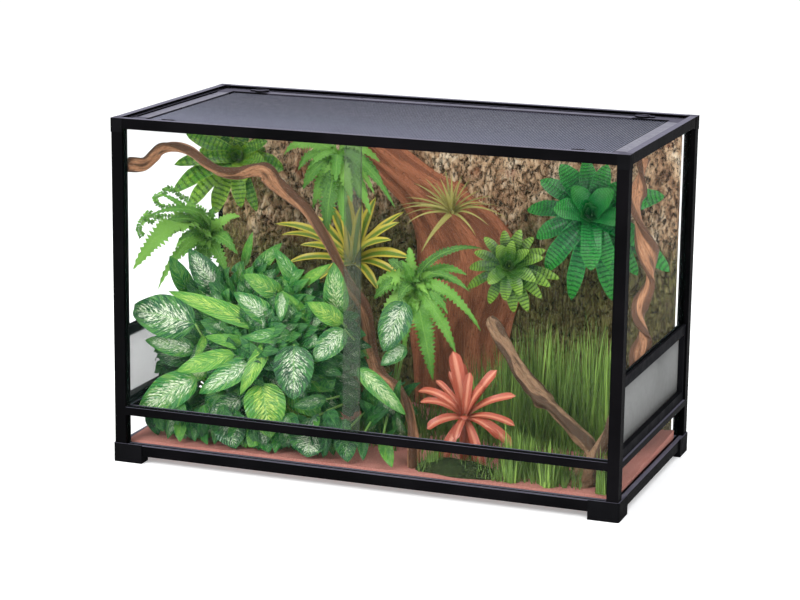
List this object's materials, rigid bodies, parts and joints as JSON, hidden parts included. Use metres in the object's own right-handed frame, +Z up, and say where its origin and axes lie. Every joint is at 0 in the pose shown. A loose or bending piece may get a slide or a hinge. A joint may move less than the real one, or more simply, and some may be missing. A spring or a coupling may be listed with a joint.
{
  "type": "terrarium",
  "caption": "Black-framed glass terrarium with sliding front doors, side vents and a lift-off screen lid, planted with bark, driftwood and tropical plants.",
  "frame": {"origin": "centre of the footprint, level with the undersides of the feet", "axes": "+X along the front to the viewer's right, +Y from the doors towards the back, +Z up"},
  "size_m": [0.905, 0.455, 0.6],
  "materials": {
    "frame_black": "satin",
    "vent_grey": "satin",
    "lid_grey": "satin",
    "black_plastic": "satin",
    "track_plastic": "satin",
    "pane": "polished",
    "clear_strip": "gloss",
    "screen_wire": "satin",
    "beading": "matte",
    "screw": "satin",
    "bark": "rough",
    "ground": "matte",
    "driftwood": "rough",
    "leaf_green": "satin",
    "leaf_yellow": "satin",
    "leaf_coral": "satin",
    "leaf_olive": "satin"
  },
  "bodies": {
    "enclosure": {"front_base_rail": "frame_black", "back_base_rail": "frame_black", "left_base_rail": "frame_black", "right_base_rail": "frame_black", "front_left_post": "frame_black", "front_right_post": "frame_black", "back_left_post": "frame_black", "back_right_post": "frame_black", "front_top_rail": "frame_black", "back_top_rail": "frame_black", "left_top_rail": "frame_black", "right_top_rail": "frame_black", "top_corner_blocks": "black_plastic", "front_left_foot": "black_plastic", "front_right_foot": "black_plastic", "back_left_foot": "black_plastic", "back_right_foot": "black_plastic", "foot_screws": "screw", "sill_rail": "frame_black", "lower_door_track": "track_plastic", "upper_door_track": "track_plastic", "left_mid_rail": "frame_black", "right_mid_rail": "frame_black", "floor_pane": "pane", "back_pane": "pane", "front_strip_pane": "pane", "left_upper_pane": "pane", "right_upper_pane": "pane", "left_strip_pane": "pane", "right_strip_pane": "pane", "left_vent_frame": "vent_grey", "right_vent_frame": "vent_grey", "left_vent_screen": "screen_wire", "right_vent_screen": "screen_wire", "bark_panel": "bark", "ground": "ground", "liana": "driftwood", "branches": "driftwood", "dieffenbachia": "leaf_green", "green_bromeliads": "leaf_green", "yellow_bromeliad": "leaf_yellow", "coral_bromeliad": "leaf_coral", "air_plant": "leaf_olive", "ferns": "leaf_green", "reeds": "leaf_green"},
    "left_door": {"left_door": "pane", "door_seal": "clear_strip"},
    "right_door": {"right_door": "pane"},
    "lid": {"lid_front_rail": "lid_grey", "lid_back_rail": "lid_grey", "lid_left_rail": "lid_grey", "lid_right_rail": "lid_grey", "lid_corners": "black_plastic", "lid_screen": "screen_wire", "screen_beading": "beading"},
    "front_left_latch": {"front_left_latch": "black_plastic"},
    "front_right_latch": {"front_right_latch": "black_plastic"},
    "back_left_latch": {"back_left_latch": "black_plastic"},
    "back_right_latch": {"back_right_latch": "black_plastic"}
  },
  "joints": [
    {"name": "left_door_slide", "type": "slide", "parent": "enclosure", "child": "left_door", "axis": [1, 0, 0], "range_m": [0, 0.42]},
    {"name": "right_door_slide", "type": "slide", "parent": "enclosure", "child": "right_door", "axis": [1, 0, 0], "range_m": [-0.39, 0]},
    {"name": "lid_lift", "type": "slide", "parent": "enclosure", "child": "lid", "axis": [0, 0, 1], "range_m": [0, 0.15]},
    {"name": "front_left_latch_turn", "type": "hinge", "parent": "lid", "child": "front_left_latch", "pos_m": [-0.358, -0.197, 0.594], "axis": [0, 0, 1], "range_deg": [0, 90]},
    {"name": "front_right_latch_turn", "type": "hinge", "parent": "lid", "child": "front_right_latch", "pos_m": [0.358, -0.197, 0.594], "axis": [0, 0, 1], "range_deg": [-90, 0]},
    {"name": "back_left_latch_turn", "type": "hinge", "parent": "lid", "child": "back_left_latch", "pos_m": [-0.358, 0.197, 0.594], "axis": [0, 0, 1], "range_deg": [-90, 0]},
    {"name": "back_right_latch_turn", "type": "hinge", "parent": "lid", "child": "back_right_latch", "pos_m": [0.358, 0.197, 0.594], "axis": [0, 0, 1], "range_deg": [0, 90]}
  ]
}
